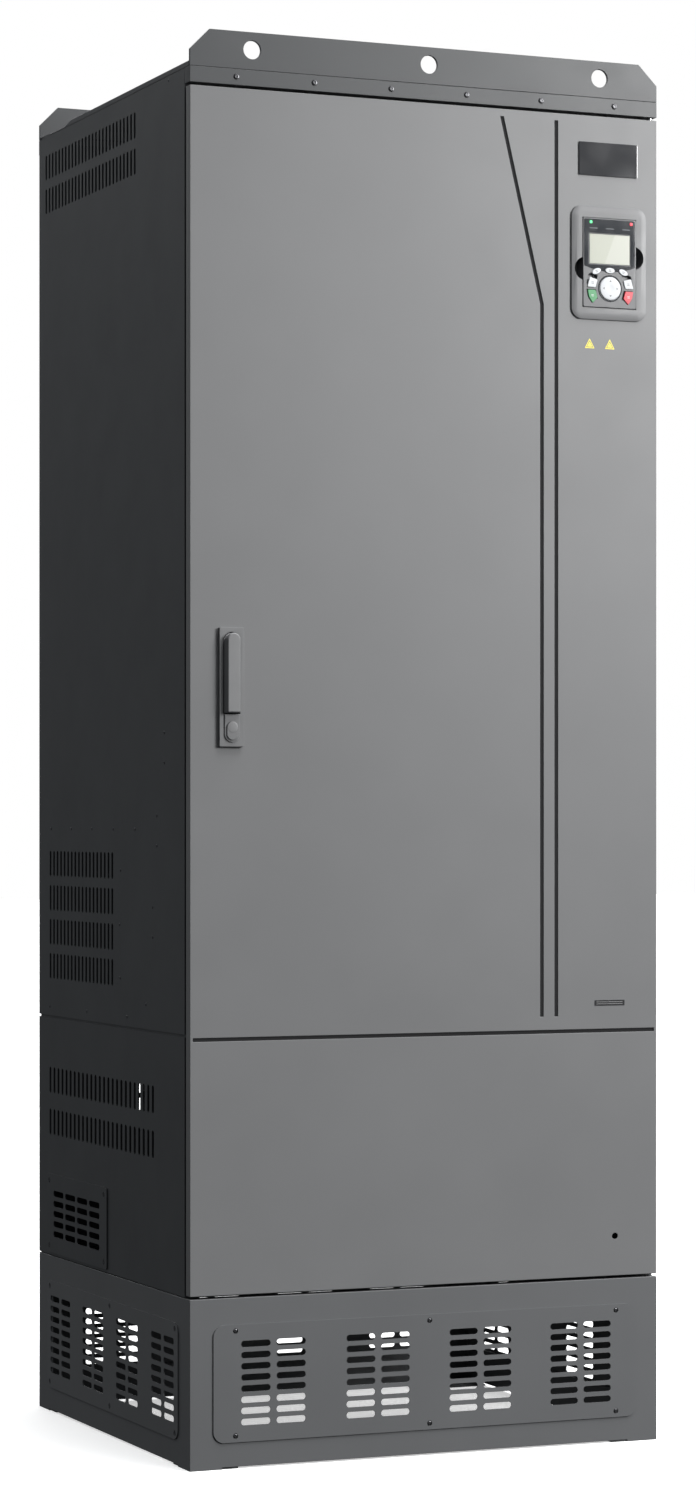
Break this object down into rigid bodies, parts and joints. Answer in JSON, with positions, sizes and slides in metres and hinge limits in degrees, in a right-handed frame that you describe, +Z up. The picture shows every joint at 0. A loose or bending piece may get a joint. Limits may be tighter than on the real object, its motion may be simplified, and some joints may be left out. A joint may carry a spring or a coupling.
{
  "type": "variable frequency drive",
  "caption": "Floor-standing variable frequency drive in a tall sheet-steel cabinet with hinged door, keypad, swing handle and slotted plinth.",
  "frame": {"origin": "floor point under the centre of the overall box", "axes": "+Z up, the door faces -Y, +X to the viewer's right facing the door"},
  "size_m": [0.62, 0.5728, 1.7],
  "materials": {
    "door_paint": "fine-textured powder coat",
    "case_paint": "fine-textured powder coat",
    "plinth_paint": "fine-textured powder coat",
    "zinc_plate": "bright zinc",
    "gasket_foam": "matt foam",
    "plate_gloss": "polished, blank",
    "handle_grip": "satin grain",
    "handle_plastic": "satin grain",
    "lock_metal": "polished",
    "hinge_nylon": "plain",
    "bezel_plastic": "satin grain",
    "keypad_gloss": "polished upper part, satin lower part",
    "keypad_glass": "clear window over a grey-green display",
    "oval_keys": "satin",
    "green_key": "satin",
    "red_key": "satin",
    "sink_aluminium": "extruded",
    "module_plastic": "moulded",
    "capacitor_cans": "drawn cans with sleeves",
    "copper": "rolled copper",
    "circuit_board": "solder mask",
    "terminal_plastic": "moulded",
    "fan_plastic": "moulded"
  },
  "bodies": {
    "cabinet": {"cabinet_frame": "case_paint", "left_upper_panel": "case_paint", "right_upper_panel": "case_paint", "left_lower_panel": "case_paint", "right_lower_panel": "case_paint", "left_vent_cover": "case_paint", "right_vent_cover": "case_paint", "rear_upper_panel": "case_paint", "rear_lower_panel": "case_paint", "roof_panel": "case_paint", "front_lifting_plate": "case_paint", "rear_lifting_plate": "case_paint", "plinth_frame": "plinth_paint", "plinth_front_cover": "plinth_paint", "plinth_rear_cover": "plinth_paint", "plinth_left_cover": "plinth_paint", "plinth_right_cover": "plinth_paint", "gland_plate": "zinc_plate", "duct_wall": "zinc_plate", "board_tray": "zinc_plate", "upper_hinge_pin": "zinc_plate", "lower_hinge_pin": "zinc_plate", "heat_sink": "sink_aluminium", "igbt_module_u": "module_plastic", "igbt_module_v": "module_plastic", "igbt_module_w": "module_plastic", "rectifier_module": "module_plastic", "capacitor_bank": "capacitor_cans", "dc_bus_plate": "copper", "control_board": "circuit_board", "input_terminal_block": "terminal_plastic", "output_terminal_block": "terminal_plastic", "left_fan_housing": "fan_plastic", "right_fan_housing": "fan_plastic"},
    "door": {"door": "door_paint", "door_gasket": "gasket_foam", "name_plate": "plate_gloss", "upper_hinge_bush": "hinge_nylon", "lower_hinge_bush": "hinge_nylon", "handle_base": "handle_plastic", "keypad_bezel": "bezel_plastic", "keypad_body": "keypad_gloss", "keypad_screen": "keypad_glass"},
    "handle_hub": {"handle_hub": "zinc_plate", "lock_cam": "zinc_plate"},
    "handle_lever": {"handle_lever": "handle_grip"},
    "upper_lock_rod": {"upper_lock_rod": "zinc_plate"},
    "lower_lock_rod": {"lower_lock_rod": "zinc_plate"},
    "lock_cover": {"lock_cover": "handle_plastic"},
    "lock_barrel": {"lock_barrel": "lock_metal"},
    "left_fan_impeller": {"left_fan_impeller": "fan_plastic"},
    "right_fan_impeller": {"right_fan_impeller": "fan_plastic"},
    "left_function_key": {"left_function_key": "oval_keys"},
    "middle_function_key": {"middle_function_key": "oval_keys"},
    "right_function_key": {"right_function_key": "oval_keys"},
    "navigation_pad": {"navigation_pad": "oval_keys"},
    "upper_left_key": {"upper_left_key": "oval_keys"},
    "upper_right_key": {"upper_right_key": "oval_keys"},
    "run_key": {"run_key": "green_key"},
    "stop_key": {"stop_key": "red_key"}
  },
  "joints": [
    {"name": "door_hinge", "type": "hinge", "parent": "cabinet", "child": "door", "pos_m": [0.3017, -0.26755, 0.92], "axis": [0, 0, 1], "range_deg": [0, 105]},
    {"name": "handle_turn", "type": "hinge", "parent": "door", "child": "handle_hub", "pos_m": [-0.2572, -0.265, 0.97825], "axis": [0, -1, 0], "range_deg": [0, 90]},
    {"name": "handle_lift", "type": "hinge", "parent": "handle_hub", "child": "handle_lever", "pos_m": [-0.2572, -0.28145, 0.97825], "axis": [-1, 0, 0], "range_deg": [0, 20]},
    {"name": "upper_rod_slide", "type": "slide", "parent": "door", "child": "upper_lock_rod", "axis": [0, 0, -1], "range_m": [0, 0.018]},
    {"name": "lower_rod_slide", "type": "slide", "parent": "door", "child": "lower_lock_rod", "axis": [0, 0, 1], "range_m": [0, 0.018]},
    {"name": "lock_cover_turn", "type": "hinge", "parent": "door", "child": "lock_cover", "pos_m": [-0.2572, -0.278, 0.87645], "axis": [0, -1, 0], "range_deg": [0, 90]},
    {"name": "lock_barrel_turn", "type": "hinge", "parent": "door", "child": "lock_barrel", "pos_m": [-0.2572, -0.276, 0.86835], "axis": [0, -1, 0], "range_deg": [0, 90]},
    {"name": "left_fan_spin", "type": "hinge", "parent": "cabinet", "child": "left_fan_impeller", "pos_m": [-0.115, 0.11665, 1.505], "axis": [0, 0, 1], "continuous": true},
    {"name": "right_fan_spin", "type": "hinge", "parent": "cabinet", "child": "right_fan_impeller", "pos_m": [0.115, 0.11665, 1.505], "axis": [0, 0, 1], "continuous": true},
    {"name": "left_function_key_press", "type": "slide", "parent": "door", "child": "left_function_key", "axis": [0, 1, 0], "range_m": [0, 0.001], "stiffness_N_per_m": 200},
    {"name": "middle_function_key_press", "type": "slide", "parent": "door", "child": "middle_function_key", "axis": [0, 1, 0], "range_m": [0, 0.001], "stiffness_N_per_m": 200},
    {"name": "right_function_key_press", "type": "slide", "parent": "door", "child": "right_function_key", "axis": [0, 1, 0], "range_m": [0, 0.001], "stiffness_N_per_m": 200},
    {"name": "navigation_pad_press", "type": "slide", "parent": "door", "child": "navigation_pad", "axis": [0, 1, 0], "range_m": [0, 0.001], "stiffness_N_per_m": 200},
    {"name": "upper_left_key_press", "type": "slide", "parent": "door", "child": "upper_left_key", "axis": [0, 1, 0], "range_m": [0, 0.001], "stiffness_N_per_m": 200},
    {"name": "upper_right_key_press", "type": "slide", "parent": "door", "child": "upper_right_key", "axis": [0, 1, 0], "range_m": [0, 0.001], "stiffness_N_per_m": 200},
    {"name": "run_key_press", "type": "slide", "parent": "door", "child": "run_key", "axis": [0, 1, 0], "range_m": [0, 0.001], "stiffness_N_per_m": 200},
    {"name": "stop_key_press", "type": "slide", "parent": "door", "child": "stop_key", "axis": [0, 1, 0], "range_m": [0, 0.001], "stiffness_N_per_m": 200}
  ],
  "couplings": [
    {"joint": "handle_turn", "follows": "upper_rod_slide", "rad_per_m": 87.2},
    {"joint": "lower_rod_slide", "follows": "upper_rod_slide", "ratio": 1}
  ]
}
